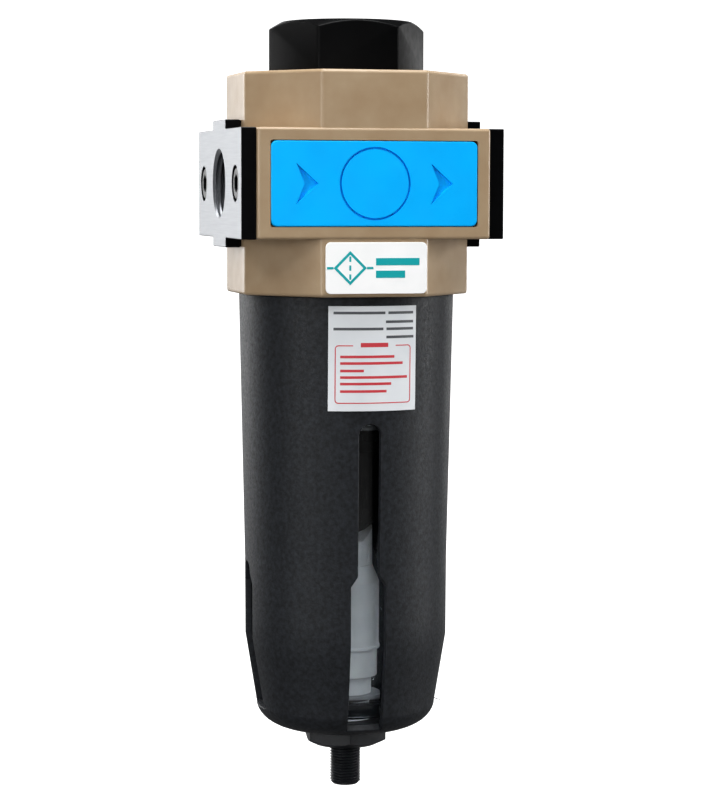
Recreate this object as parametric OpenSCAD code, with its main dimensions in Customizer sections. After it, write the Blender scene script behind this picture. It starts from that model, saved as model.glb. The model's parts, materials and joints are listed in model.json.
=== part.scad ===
// Compressed air filter with interchangeable end plates, clear bowl, guard and float drain.
// Millimetres. Z = 0 is the port axis, X is the flow direction, Z runs up the bowl axis.

/* [Head casting] */
// Width of the eight-sided head between its side faces
head_w = 71.6; // [70:0.2:74]
// Depth of the head from front face to rear face
head_d = 75.6; // [74:0.2:78]
// Height of the head
head_h = 68.6; // [66:0.2:72]
// Width of the front and rear faces of the head
front_face_w = 32.8; // [30:0.2:36]
// Width of the two side faces of the head
side_face_w = 29.6; // [28:0.2:32]
// Height of the raised band around the ports
band_h = 33.6; // [32:0.2:35]
// How far the band stands out of the front face
band_proud = 0.5; // [0.3:0.1:1]

/* [End plates] */
// Thickness of an end plate
plate_t = 4.7; // [4.5:0.1:6]
// Width of an end plate
plate_w = 73.4; // [72:0.2:75]
// Width of the upper and lower tabs of an end plate
tab_w = 21.6; // [18:0.2:26]
// Height of an end plate over its tabs
tab_h = 39.4; // [38:0.2:42]
// Minor radius of the port thread
port_r = 9.3; // [9:0.05:9.4]
// Depth of the port thread from the plate's face
port_depth = 13.9; // [13:0.1:14.5]
// Distance between the two screws of a plate
screw_pitch = 54; // [53:0.5:56]

/* [Panels and labels] */
// Width of the snap-in front and rear panels
panel_w = 64.2; // [60:0.2:65]
// Height of the panels
panel_h = 25.8; // [22:0.2:27]
// Thickness of the panels
panel_t = 3; // [2.5:0.1:4]
// Width of the label on the head
name_label_w = 31.6; // [20:0.2:32]
// Height of the label on the head
name_label_h = 15.6; // [10:0.2:16]
// Height of the label on the guard
rating_label_h = 32.2; // [20:0.2:36]
// Angle that the label on the guard covers
rating_label_angle = 48; // [30:1:60]

/* [Top plug] */
// Width across the flats of the top plug
plug_af = 43; // [41:0.5:44]
// Height of the plug's hexagon
plug_h = 16.25; // [14:0.25:18]
// Radius of the plug's threaded stem
plug_stem_r = 16.4; // [16:0.1:16.5]

/* [Bowl guard] */
// Radius of the guard under the head
guard_top_r = 34; // [33.5:0.1:34.4]
// Radius of the guard where its lower taper starts
guard_mid_r = 32.1; // [31.8:0.1:32.6]
// Radius of the guard above its bottom corner
guard_low_r = 28.6; // [28.4:0.1:29.5]
// Height of the guard below the head
guard_h = 138.6; // [138:0.2:141]
// Wall of the guard
guard_wall = 2.3; // [2:0.1:2.5]
// Width of the narrow sight slot
slot_narrow_w = 7; // [6:0.2:8]
// Width of the wide sight slot
slot_wide_w = 11.3; // [10:0.1:12]

/* [Drain] */
// Width across the flats of the drain nut
nut_af = 24.4; // [24:0.2:27]
// Height of the drain nut
nut_h = 6; // [5.5:0.1:7]
// Radius of the drain tail's thread
tail_r = 4.86; // [4.7:0.01:4.9]
// How far the drain tail stands out of the nut
tail_out = 13.4; // [8:0.2:14]
// How far the drain stem pushes up
stem_travel = 3; // [2:0.1:3]
// Radius of the float
float_r = 8.7; // [8:0.1:8.8]

/* [Hidden] */
$fn = 96;
eps = 0.01;

// head
head_top = head_h / 2;
band_w = head_w + 0.8;
band_d = head_d + 2 * band_proud;
socket_r = 31.3;
socket_top = -21.3;
seal_bore_r = 28.9;
seal_bore_top = -15;
chamber_r = 24.5;
chamber_top = 7;
boss_r = 14.5;
boss_bottom = -22;
outlet_bore_r = 10;
passage_r = port_r - 0.3;
cross_tube_r = 12;
plug_hole_r = plug_stem_r + 0.3;
plug_hole_bottom = 20;
plug_ring_r = 18.4;
plug_ring_wire_r = 0.9;
spider_w = 9;
rod_r = 3;
rod_hole_r = rod_r + 0.05;

// end plates
plate_in = band_w / 2;
plate_out = plate_in + plate_t;
spigot_r = 13.5;
spigot_end = plate_out - port_depth;
plate_ring_r = 16.6;
plate_ring_wire_r = 1.3;
screw_r = 3;
screw_head_r = 5;
screw_head_h = 3.4;
screw_pocket_r = 5.55;
screw_pocket_depth = 3.7;
screw_length = 14;
screw_hex_r = 2.89;

// panels
panel_gap = 0.3;
panel_corner_r = 2;
peg_r = 2;
peg_x = 20;
peg_length = 5;
dial_r = 10.7;
groove_w = 0.5;
chevron_x = 20.9;
label_t = 0.5;
name_label_x = 0.5; // [-2:0.1:2]
name_label_z = -25.4;

// guard and bowl
guard_top = -head_top - 0.05;
guard_bottom = guard_top - guard_h;
guard_taper_top = -118;
guard_taper_end = -143;
guard_corner_z = -164.5;
guard_foot_r = 17;
collar_r = socket_r - 0.3;
collar_top = -24;
bowl_clear_r = 28.9;
lip_top = socket_top - 0.3;
neck_top = seal_bore_top - 0.4;
neck_r = seal_bore_r - 0.3;
ring_groove_r = 26.3;
ring_z = -18.6;
bowl_ring_r = 27.6;
bowl_ring_wire_r = 1.2;
bowl_floor = guard_bottom + 7.35;
bowl_under = bowl_floor - 3;
stem_hole_r = 8.5;

// element
element_top = -27;
element_bottom = -73;
media_r = 18.4;
core_r = 12;
cap_r = 20.5;
pleats = 24;

// drain
nose_r = 12;
nose_z = -99.3;
cap_body_r = 8.5;
housing_r = 10.7;
housing_waist_r = 10.1;
housing_foot_r = 11.2;
washer_top = bowl_floor + 1.2;
bead_z = washer_top + 17.8;
cap_foot = washer_top + 43.6;
housing_stem_r = 8.2;
nut_top = guard_bottom - 0.05;
nut_bottom = nut_top - nut_h;
tail_end = nut_bottom - tail_out;
tail_neck_r = tail_r - 0.26;
spring_chamber_r = 6.9;
stem_bore_r = 5.2;
seat_z = guard_bottom - 0.75;
partition_z = bead_z - 6;
nozzle_top = bead_z - 0.8;
shoulder_z = bead_z + 20.3;
waist_foot = bead_z - 9.9;
float_room_foot = bead_z - 2.5;
float_room_top = bead_z + 22;
float_foot = bead_z + 1;
float_h = 15;
tube_r = 3;
tube_top = partition_z + 0.2;
stem_flange_r = 6.5;
stem_flange_top = seat_z + 3.1;
spring_r = 5.2;
spring_wire_r = 0.5;
spring_turns = 6;
spring_sides = 6;
spring_steps = 14;

// Points of a quarter ellipse from its side (angle 0) down to its foot (angle 90)
function corner(cx, cz, rx, rz, n = 8) =
    [for (i = [1 : n]) [cx + rx * cos(90 * i / n), cz - rz * sin(90 * i / n)]];

// A list in the opposite order
function reversed(list) = [for (i = [len(list) - 1 : -1 : 0]) list[i]];

// Radius of the guard's outside on its upper taper
function guard_r(z) =
    guard_top_r + (guard_mid_r + 0.1 - guard_top_r) * (z - guard_top) / (guard_taper_top - guard_top);

// Rows of points for one ring of wire along a coil of n turns
function coil_ring(i, steps, r, wire, z0, pitch, sides) =
    let (a = 360 * i / steps, slope = atan(pitch / (2 * PI * r)))
    [for (k = [0 : sides - 1])
        let (b = 360 * k / sides, u = wire * cos(b), v = wire * sin(b))
        [(r + u) * cos(a) + v * sin(slope) * sin(a),
         (r + u) * sin(a) - v * sin(slope) * cos(a),
         z0 + pitch * i / steps + v * cos(slope)]];

// A wire coil as one closed mesh
module coil(r, wire, z0, z1, turns, steps, sides) {
    n = turns * steps;
    pts = [for (i = [0 : n]) each coil_ring(i, steps, r, wire, z0, (z1 - z0) / turns, sides)];
    sidewalls = [for (i = [0 : n - 1], k = [0 : sides - 1])
        [i * sides + k, (i + 1) * sides + k,
         (i + 1) * sides + (k + 1) % sides, i * sides + (k + 1) % sides]];
    start = [[for (k = [0 : sides - 1]) k]];
    finish = [[for (k = [0 : sides - 1]) n * sides + sides - 1 - k]];
    polyhedron(pts, concat(sidewalls, start, finish), convexity = 8);
}

// A cylinder along +X from x0 to x1
module x_rod(r, x0, x1) {
    translate([x0, 0, 0]) rotate([0, 90, 0]) cylinder(r = r, h = x1 - x0);
}

// A cylinder along Z from z0 up to z1
module z_rod(r, z0, z1) {
    translate([0, 0, z0]) cylinder(r = r, h = z1 - z0);
}

// A tube along Z
module z_tube(r, bore, z0, z1) {
    difference() {
        z_rod(r, z0, z1);
        z_rod(bore, z0 - 1, z1 + 1);
    }
}

// A round rubber ring about Z
module ring(r, wire, z) {
    translate([0, 0, z]) rotate_extrude() translate([r, 0]) circle(r = wire, $fn = 32);
}

// A flat rectangle with round corners
module round_rect(w, h, r) {
    square([w - 2 * r, h], center = true);
    square([w, h - 2 * r], center = true);
    for (sx = [-1, 1], sy = [-1, 1])
        translate([sx * (w / 2 - r), sy * (h / 2 - r)]) circle(r = r, $fn = 32);
}

// A rounded block facing -Y, between y0 and y1, drawn in X and Z
module front_block(w, h, r, y0, y1) {
    translate([0, y1, 0]) rotate([90, 0, 0]) linear_extrude(y1 - y0) round_rect(w, h, r);
}

// Copies its children to the front and the rear
module front_and_rear() {
    children();
    rotate([0, 0, 180]) children();
}

// The eight-sided outline of the head
module head_outline() {
    a = front_face_w / 2;
    b = head_d / 2;
    c = head_w / 2;
    d = side_face_w / 2;
    polygon([[a, -b], [c, -d], [c, d], [a, b], [-a, b], [-c, d], [-c, -d], [-a, -b]]);
}

// Solid of the head before it is bored
module head_solid() {
    translate([0, 0, -head_top]) linear_extrude(head_h) head_outline();
    cube([band_w, band_d, band_h], center = true);
}

// Space inside the head for the bowl, the plug, the plates and the air
module head_space() {
    z_rod(socket_r, -head_top - 1, socket_top);
    z_rod(seal_bore_r, socket_top - eps, seal_bore_top);
    z_tube(chamber_r, boss_r, seal_bore_top - eps, chamber_top);
    z_rod(plug_hole_r, plug_hole_bottom, head_top + 1);
    z_rod(plug_ring_r + plug_ring_wire_r + 1, head_top - 1.9, head_top + 1);
    x_rod(spigot_r + 0.1, spigot_end, plate_out);
    rotate([0, 0, 180]) x_rod(spigot_r + 0.1, spigot_end, plate_out);
    rotate([0, 0, 180]) x_rod(passage_r, boss_r + 2, spigot_end + 1);
    for (side = [0, 180], y = [-1, 1])
        rotate([0, 0, side]) translate([0, y * screw_pitch / 2, 0])
            x_rod(screw_r + 0.05, plate_in - screw_length + 1, plate_out);
    front_and_rear() {
        front_block(panel_w + 2 * panel_gap, panel_h + 2 * panel_gap, panel_corner_r + panel_gap,
                    -band_d, -band_d / 2 + panel_t + 0.05);
        for (x = [-peg_x, peg_x])
            translate([x, -band_d / 2 + panel_t + peg_length + 0.5, 0]) rotate([90, 0, 0])
                cylinder(r = peg_r + 0.05, h = peg_length + 2);
    }
}

module head_body() {
    color("#A38D6C") difference() {
        union() {
            difference() {
                head_solid();
                head_space();
            }
            z_rod(boss_r, boss_bottom, chamber_top + 1);
            x_rod(cross_tube_r, boss_r - 3, spigot_end - 0.5);
        }
        z_rod(outlet_bore_r, boss_bottom - 1, boss_bottom + 2);
        difference() {
            z_rod(outlet_bore_r, boss_bottom + 1, plug_hole_bottom + 1);
            translate([0, 0, boss_bottom + 6]) cube([3 * outlet_bore_r, spider_w, 8], center = true);
        }
        z_rod(rod_hole_r, boss_bottom, boss_bottom + 12);
        x_rod(passage_r, 0, spigot_end + 1);
    }
}

// An end plate on the +X side: slab, two tabs and a threaded spigot
module end_plate() {
    step = band_h / 2;
    color("#D2D3D6") difference() {
        union() {
            translate([plate_in, -plate_w / 2, -step]) cube([plate_t, plate_w, band_h]);
            for (side = [0, 1])
                mirror([0, 0, side]) translate([head_w / 2, -tab_w / 2, step])
                    cube([plate_out - head_w / 2, tab_w, tab_h / 2 - step]);
            x_rod(spigot_r, spigot_end, plate_in + 1);
        }
        x_rod(port_r, spigot_end - 1, plate_out + 1);
        difference() {
            x_rod(plate_ring_r + 1.5, plate_in - eps, plate_in + 2 * plate_ring_wire_r);
            x_rod(plate_ring_r - 1.5, plate_in - 1, plate_out);
        }
        for (y = [-1, 1]) translate([0, y * screw_pitch / 2, 0]) {
            x_rod(screw_r + 0.3, plate_in - 1, plate_out + 1);
            x_rod(screw_pocket_r, plate_out - screw_pocket_depth, plate_out + 1);
        }
    }
}

// The two low-head socket screws of the +X plate
module plate_screws() {
    seat = plate_out - screw_pocket_depth;
    color("#303236") for (y = [-1, 1]) translate([0, y * screw_pitch / 2, 0]) difference() {
        union() {
            x_rod(screw_r, plate_in - screw_length + 1.5, seat + 1);
            x_rod(screw_head_r, seat, seat + screw_head_h);
        }
        translate([seat + 1, 0, 0]) rotate([0, 90, 0])
            cylinder(r = screw_hex_r, h = screw_head_h, $fn = 6);
    }
}

// The face ring of the +X plate
module plate_ring() {
    color("#1C1C1E") translate([plate_in + plate_ring_wire_r, 0, 0]) rotate([0, 90, 0])
        rotate_extrude() translate([plate_ring_r, 0]) circle(r = plate_ring_wire_r, $fn = 32);
}

module outlet_plate() { end_plate(); }
module inlet_plate() { rotate([0, 0, 180]) end_plate(); }
module outlet_plate_screws() { plate_screws(); }
module inlet_plate_screws() { rotate([0, 0, 180]) plate_screws(); }
module outlet_oring() { plate_ring(); }
module inlet_oring() { rotate([0, 0, 180]) plate_ring(); }

// A flow chevron that points to +X, centred on its notch
module chevron() {
    polygon([[-3.2, 5.8], [3.1, 0], [-3.2, -5.8], [-0.6, 0]]);
}

// A panel on the front side; flow is the sign of the flow along its own X
module panel(flow) {
    face = -band_d / 2;
    color("#16B2F2") difference() {
        union() {
            front_block(panel_w, panel_h, panel_corner_r, face, face + panel_t);
            for (x = [-peg_x, peg_x])
                translate([x, face + panel_t + peg_length, 0]) rotate([90, 0, 0])
                    cylinder(r = peg_r, h = peg_length + 1);
        }
        translate([0, face + groove_w, 0]) rotate([90, 0, 0]) linear_extrude(2) difference() {
            circle(r = dial_r + groove_w / 2);
            circle(r = dial_r - groove_w / 2);
        }
        for (x = [-chevron_x, chevron_x])
            translate([x, face + groove_w, 0]) rotate([90, 0, 0]) linear_extrude(2)
                mirror([flow < 0 ? 1 : 0, 0, 0]) chevron();
    }
}

module front_panel() { panel(1); }
module rear_panel() { rotate([0, 0, 180]) panel(-1); }

module name_label() {
    color("white") translate([name_label_x, 0, name_label_z])
        front_block(name_label_w, name_label_h, 1.6, -head_d / 2 - label_t, -head_d / 2);
}

module top_plug() {
    foot = head_top + 0.05;
    top = foot + plug_h;
    turn = -3.4;
    top_circle_r = plug_af / 2 - 1;
    bevel = tan(30);
    color("#1A1B1E") difference() {
        union() {
            intersection() {
                translate([0, 0, foot]) rotate([0, 0, turn])
                    cylinder(r = plug_af / sqrt(3), h = plug_h, $fn = 6);
                translate([0, 0, foot - 1]) cylinder(r1 = top_circle_r + (plug_h + 1) / bevel,
                                                     r2 = top_circle_r, h = plug_h + 1);
            }
            z_rod(plug_stem_r, plug_hole_bottom + 1, foot + 1);
        }
        z_rod(9, plug_hole_bottom, top - 6);
    }
}

module top_plug_oring() {
    color("#1C1C1E") ring(plug_ring_r, plug_ring_wire_r, head_top - 1);
}

// Two rings joined by tilted vanes that spin the incoming air
module swirl_vanes() {
    vane_top = seal_bore_top - 0.6;
    vane_bottom = boss_bottom + 0.5;
    inner_r = boss_r + 0.1;
    outer_r = 23.9;
    middle = (vane_top + vane_bottom) / 2;
    color("#3A3D40") {
        z_tube(inner_r + 1.4, inner_r, vane_bottom, vane_top);
        z_tube(outer_r, outer_r - 1.2, vane_bottom, vane_top);
        intersection() {
            z_tube(outer_r - 0.6, inner_r + 0.7, vane_bottom, vane_top);
            for (i = [0 : 11]) rotate([0, 0, 30 * i]) translate([inner_r + 4.5, 0, middle])
                rotate([35, 0, 0]) cube([12, 1, 12], center = true);
        }
    }
}

module element_gasket() {
    color("#1C1C1E") z_tube(boss_r, outlet_bore_r + 0.5, boss_bottom - 1.5, boss_bottom);
}

module element_top_cap() {
    color("#C9CCCE") {
        z_tube(cap_r, outlet_bore_r, element_top, boss_bottom - 1.5);
        z_tube(cap_r, cap_r - 1, element_top - 4, element_top + 1);
    }
}

// Perforated support tube of the element
module element_core() {
    color("#B9BCC0") difference() {
        z_tube(core_r, core_r - 1, element_bottom, element_top);
        for (row = [0 : 7], i = [0 : 2])
            translate([0, 0, element_top - 4 - 5.4 * row]) rotate([0, 0, 60 * i + 30 * (row % 2)])
                rotate([90, 0, 0]) cylinder(r = 1.6, h = 2 * core_r + 2, center = true);
    }
}

// Pleated filter paper between the core and the sleeve
module element_media() {
    n = 2 * pleats;
    outer = [for (i = [0 : n - 1]) let (r = i % 2 == 0 ? media_r : media_r - 2)
        [r * cos(360 * i / n), r * sin(360 * i / n)]];
    color("#E8E4D8") difference() {
        translate([0, 0, element_bottom]) linear_extrude(element_top - element_bottom) polygon(outer);
        z_rod(core_r + 0.1, element_bottom - 1, element_top + 1);
    }
}

module element_sleeve() {
    color("#E9E9E4") z_tube(media_r + 1, media_r + 0.1, element_bottom, element_top);
}

module element_bottom_cap() {
    color("#C9CCCE") {
        z_tube(cap_r, rod_r + 0.2, element_bottom - 3.5, element_bottom);
        z_tube(cap_r, cap_r - 1, element_bottom - 1, element_bottom + 4);
    }
}

module tie_rod() {
    color("#B9BCC0") z_rod(rod_r, element_bottom - 14, boss_bottom + 9);
}

// Bell under the element that keeps the settled water from being picked up again
module baffle() {
    top = element_bottom - 3.5;
    rim_r = 22.5;
    color("#26282B") difference() {
        union() {
            rotate_extrude()
                polygon([[0, top], [rim_r, top], [rim_r, top - 3], [16, top - 7],
                         [nose_r, nose_z], [0, nose_z]]);
            intersection() {
                translate([0, 0, nose_z]) sphere(r = nose_r);
                z_rod(nose_r + 1, nose_z - nose_r - 1, nose_z + 1);
            }
        }
        z_rod(rod_r + 0.05, top - 12, top + 1);
    }
}

module bowl_oring() {
    color("#1C1C1E") ring(bowl_ring_r, bowl_ring_wire_r, ring_z);
}

// Clear bowl: sealing neck, resting lip and tapered wall with a rounded floor
module bowl() {
    half = bowl_ring_wire_r + 0.1;
    color([0.85, 0.9, 0.95, 0.35]) rotate_extrude() polygon(concat(
        [[24.6, neck_top], [neck_r, neck_top],
         [neck_r, ring_z + half], [ring_groove_r, ring_z + half],
         [ring_groove_r, ring_z - half], [neck_r, ring_z - half],
         [neck_r, lip_top], [collar_r, lip_top], [collar_r, collar_top + 0.05],
         [neck_r, collar_top + 0.05], [27.6, guard_taper_top], [27.4, guard_taper_end],
         [24.3, bowl_under + 7.6]],
        corner(14.3, bowl_under + 7.6, 10, 7.6),
        [[stem_hole_r, bowl_under], [stem_hole_r, bowl_floor]],
        reversed(corner(13, bowl_floor + 5.6, 8.4, 5.6)),
        [[21.4, bowl_floor + 5.6], [24.2, guard_taper_end], [24.3, guard_taper_top]]));
}

// Outline of a sight slot in X and Z: narrow upper part, shoulders and wide lower part
module slot_outline(narrow_top, shoulder_top, bottom) {
    a = slot_narrow_w / 2;
    b = slot_wide_w / 2;
    shoulder = 3.3;
    polygon([[-a, narrow_top], [a, narrow_top], [a, shoulder_top], [b, shoulder_top - shoulder],
             [b, bottom], [-b, bottom], [-b, shoulder_top - shoulder], [-a, shoulder_top]]);
    translate([0, narrow_top]) circle(r = a);
}

// A slot cut that starts 16 mm from the axis and runs out to the front
module slot_cut(narrow_top, shoulder_top, bottom) {
    translate([0, -16, 0]) rotate([90, 0, 0]) linear_extrude(24)
        slot_outline(narrow_top, shoulder_top, bottom);
}

module bowl_guard() {
    inner = guard_bottom + guard_wall;
    color("#2B2D31") difference() {
        union() {
            z_rod(collar_r, guard_top - 1, collar_top);
            rotate_extrude() polygon(concat(
                [[0, guard_top], [guard_top_r, guard_top], [guard_mid_r + 0.1, guard_taper_top],
                 [guard_mid_r, guard_taper_end], [guard_low_r, guard_corner_z]],
                corner(guard_foot_r, guard_corner_z, guard_low_r - guard_foot_r,
                       guard_corner_z - guard_bottom),
                [[0, guard_bottom]]));
        }
        z_rod(bowl_clear_r, guard_top - 6, collar_top + 1);
        rotate_extrude() polygon(concat(
            [[0, guard_top - 3], [bowl_clear_r, guard_top - 3],
             [guard_top_r - guard_wall, guard_top - 6],
             [guard_mid_r + 0.1 - guard_wall, guard_taper_top],
             [guard_mid_r - guard_wall, guard_taper_end],
             [guard_low_r - guard_wall, guard_corner_z]],
            corner(guard_foot_r, guard_corner_z, guard_low_r - guard_foot_r - guard_wall,
                   guard_corner_z - inner),
            [[0, inner]]));
        z_rod(stem_hole_r, guard_bottom - 1, inner + 1);
        front_and_rear() slot_cut(-77, -120.6, -170.2);
        rotate([0, 0, 90]) front_and_rear() slot_cut(-122.6, -122.7, -165.8);
    }
}

module rating_label() {
    gap = 0.03;
    skin = 0.4;
    top = -37.1;
    bottom = top - rating_label_h;
    color("white") rotate([0, 0, -90 - rating_label_angle / 2 + 1.8])
        rotate_extrude(angle = rating_label_angle)
            polygon([[guard_r(top) + gap, top], [guard_r(top) + gap + skin, top],
                     [guard_r(bottom) + gap + skin, bottom], [guard_r(bottom) + gap, bottom]]);
}

// Strainer cap of the float drain, dished at the top to clear the baffle's nose
module drain_cap() {
    slit_h = 6.4;
    color("#AEB2B4") difference() {
        z_rod(cap_body_r, cap_foot, -108.4);
        translate([0, 0, nose_z]) sphere(r = nose_r + 0.4);
        z_rod(cap_body_r - 1.3, cap_foot - 1, -113.5);
        translate([0, 12, 0]) rotate([90, 0, 0]) linear_extrude(24)
            polygon([[-3.9, -112.9], [3.9, -112.9], [9.4, -107.4], [-9.4, -107.4]]);
        for (i = [0 : 3]) rotate([0, 0, 45 + 90 * i])
            translate([cap_body_r, 0, cap_foot + 3.8]) cube([4, 1, slit_h], center = true);
    }
}

// Float chamber, nozzle, spring chamber and clamping stem in one moulding
module drain_housing() {
    color("#B4B8BA") difference() {
        rotate_extrude() polygon([
            [0, cap_foot - 0.05], [cap_body_r, cap_foot - 0.05], [housing_r, shoulder_z],
            [housing_r, bead_z], [housing_r + 0.3, bead_z], [housing_r + 0.3, bead_z - 1],
            [housing_waist_r, bead_z - 1], [housing_waist_r, waist_foot],
            [housing_stem_r, waist_foot], [housing_stem_r, washer_top + 2.2],
            [housing_foot_r, washer_top + 2.2], [housing_foot_r, washer_top],
            [housing_stem_r, washer_top], [housing_stem_r, nut_bottom + 1.1], [0, nut_bottom + 1.1]]);
        difference() {
            z_rod(float_r + 0.5, float_room_foot, float_room_top);
            z_rod(4, float_room_foot - 0.5, nozzle_top);
        }
        z_rod(cap_body_r - 1.3, float_room_top - 0.5, cap_foot);
        z_rod(1, partition_z, nozzle_top + 1);
        z_rod(tube_r + 0.1, partition_z - 1, tube_top + stem_travel + 0.2);
        z_rod(spring_chamber_r, seat_z, partition_z);
        z_rod(stem_bore_r, nut_bottom, seat_z + 1);
        for (i = [0 : 1]) translate([0, 0, waist_foot - 2.6]) rotate([0, 0, 45 + 90 * i]) rotate([90, 0, 0])
            cylinder(r = 1.2, h = 24, center = true);
    }
}

module drain_washer() {
    color("#1C1C1E") z_tube(11, housing_stem_r + 0.1, bowl_floor, washer_top);
}

module drain_nut() {
    under_r = nut_af / 2 - 1.9;
    color("#232427") difference() {
        intersection() {
            translate([0, 0, nut_bottom]) rotate([0, 0, 23.9])
                cylinder(r = nut_af / sqrt(3), h = nut_h, $fn = 6);
            translate([0, 0, nut_bottom]) cylinder(r1 = under_r, r2 = under_r + 4 * nut_h, h = 2 * nut_h);
        }
        z_rod(housing_stem_r + 0.05, nut_bottom + 1, nut_top + 1);
        z_rod(tail_r + 0.5, nut_bottom - 1, nut_bottom + 2);
    }
}

module drain_spring() {
    lift = spring_wire_r + 0.1;
    color("#B9BCC0") coil(spring_r, spring_wire_r, stem_flange_top + lift, partition_z - lift,
                          spring_turns, spring_steps, spring_sides);
}

// Hollow threaded tail with a valve flange and an inner tube that slides in the nozzle
module drain_stem() {
    chamfer = 0.9;
    color("#26282B") difference() {
        rotate_extrude() polygon([
                [0, tail_end], [tail_r - chamfer, tail_end], [tail_r, tail_end + chamfer],
                [tail_r, nut_bottom - 0.2], [tail_neck_r, nut_bottom - 0.2], [tail_neck_r, seat_z + 1.1], [stem_flange_r, seat_z + 1.1],
                [stem_flange_r, stem_flange_top], [tube_r, stem_flange_top],
                [tube_r, tube_top], [0, tube_top]]);
        z_rod(1.2, seat_z, tube_top + 1);
        z_rod(2.6, tail_end - 1, seat_z + 1);
    }
}

module stem_seal() {
    color("#1C1C1E") z_tube(stem_flange_r, stem_bore_r + 0.1, seat_z + 0.05, seat_z + 1.1);
}

module drain_float() {
    color("#E4E6E6") difference() {
        z_rod(float_r, float_foot, float_foot + float_h);
        z_rod(2.6, float_foot - 1, float_foot + 0.8);
        z_rod(3.5, float_foot + 9, float_foot + float_h + 1);
    }
}

module float_seal() {
    color("#1C1C1E") z_rod(2.5, nozzle_top + 0.05, float_foot + 0.8);
}

head_body();
inlet_plate();
outlet_plate();
inlet_plate_screws();
outlet_plate_screws();
inlet_oring();
outlet_oring();
front_panel();
rear_panel();
name_label();
top_plug();
top_plug_oring();
swirl_vanes();
element_gasket();
element_top_cap();
element_core();
element_media();
element_sleeve();
element_bottom_cap();
tie_rod();
baffle();
bowl_oring();
bowl();
bowl_guard();
rating_label();
drain_cap();
drain_housing();
drain_washer();
drain_nut();
drain_spring();
drain_stem();
stem_seal();
drain_float();
float_seal();
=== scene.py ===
import json
import math

import bmesh
import bpy
from mathutils import Matrix, Vector

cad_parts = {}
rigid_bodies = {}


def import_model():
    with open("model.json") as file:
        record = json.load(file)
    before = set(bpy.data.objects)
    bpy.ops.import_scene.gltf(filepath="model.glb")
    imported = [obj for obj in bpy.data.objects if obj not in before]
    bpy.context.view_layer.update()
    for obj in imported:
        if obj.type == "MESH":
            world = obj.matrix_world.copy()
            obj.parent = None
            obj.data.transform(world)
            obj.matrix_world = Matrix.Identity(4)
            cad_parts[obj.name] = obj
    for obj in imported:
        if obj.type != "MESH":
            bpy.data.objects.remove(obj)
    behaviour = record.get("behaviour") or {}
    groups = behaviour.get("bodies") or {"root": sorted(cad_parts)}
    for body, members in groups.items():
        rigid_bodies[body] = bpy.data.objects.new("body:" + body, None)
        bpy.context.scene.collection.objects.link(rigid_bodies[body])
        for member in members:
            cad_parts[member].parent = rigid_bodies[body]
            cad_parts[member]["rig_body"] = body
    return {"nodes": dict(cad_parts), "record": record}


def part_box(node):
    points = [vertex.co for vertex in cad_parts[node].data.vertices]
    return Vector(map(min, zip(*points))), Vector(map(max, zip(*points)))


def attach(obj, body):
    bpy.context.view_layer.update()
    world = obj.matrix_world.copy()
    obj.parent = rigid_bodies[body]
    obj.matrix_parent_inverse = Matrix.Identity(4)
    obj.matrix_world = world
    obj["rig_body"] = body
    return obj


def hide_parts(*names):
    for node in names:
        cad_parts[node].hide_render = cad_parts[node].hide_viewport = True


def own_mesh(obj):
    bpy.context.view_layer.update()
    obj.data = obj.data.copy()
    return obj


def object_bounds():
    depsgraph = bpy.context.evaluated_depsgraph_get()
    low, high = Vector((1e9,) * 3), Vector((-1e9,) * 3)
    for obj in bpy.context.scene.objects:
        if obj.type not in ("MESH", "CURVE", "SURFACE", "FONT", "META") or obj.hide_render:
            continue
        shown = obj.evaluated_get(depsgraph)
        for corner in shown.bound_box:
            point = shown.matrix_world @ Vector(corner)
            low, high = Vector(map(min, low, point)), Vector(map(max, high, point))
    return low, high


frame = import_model()
cad_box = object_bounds()

# Looks of the compressed air filter. Lengths are in millimetres until a mesh is made, in the CAD frame:
# Z = 0 is the port axis, +X is the flow, -Y is the front and +Z is up the bowl's axis.
MM = 0.001
CURVE_STEP = math.radians(10.5)
SLOT_OF = {row["node"]: row["material_slot"] for row in frame["record"]["subparts"]}


def corners_mm(node):
    """Lowest and highest corner of a CAD node in millimetres."""
    low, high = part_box(node)
    return low / MM, high / MM


# ---------------------------------------------------------------- dimensions
_, head_high = corners_mm("head_body")
plate_low, plate_high = corners_mm("outlet_plate")
plug_low, plug_high = corners_mm("top_plug")
guard_low, guard_high = corners_mm("bowl_guard")
nut_low, nut_high = corners_mm("drain_nut")
stem_low, stem_high = corners_mm("drain_stem")
_, bowl_high = corners_mm("bowl")
panel_low, panel_high = corners_mm("front_panel")
label_low, label_high = corners_mm("name_label")
rating_low, rating_high = corners_mm("rating_label")
spring_low, spring_high = corners_mm("drain_spring")

BAND_X = head_high.x
BAND_Y = head_high.y
HEAD_TOP = head_high.z
HEAD_FOOT = -HEAD_TOP
HEAD_X = BAND_X - 0.4
HEAD_Y = BAND_Y - 0.5
BAND_Z = 16.8
HEAD_EDGE_R = 1.0
BAND_EDGE_R = 0.9
FRONT_FACE_HALF = 16.4
SIDE_FACE_HALF = 14.8
SOCKET_R = 31.3
SOCKET_TOP = -21.3
SEAL_BORE_R = 28.9
SEAL_BORE_TOP = -15
CHAMBER_R = 24.5
CHAMBER_TOP = 7
BOSS_R = 14.5
BOSS_FOOT = -22
OUTLET_R = 10
PLUG_HOLE_R = 16.7
PLUG_HOLE_FOOT = 20
PLUG_RECESS_R = 20.3
PLUG_RECESS_FOOT = 32.4
INLET_TUBE_R = 12
SPIDER_HALF_Y = 4.5
SPIDER_Z = (-20, -12)
SCREW_HOLE_R = 3.05
SCREW_HOLE_DEPTH = 13

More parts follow.
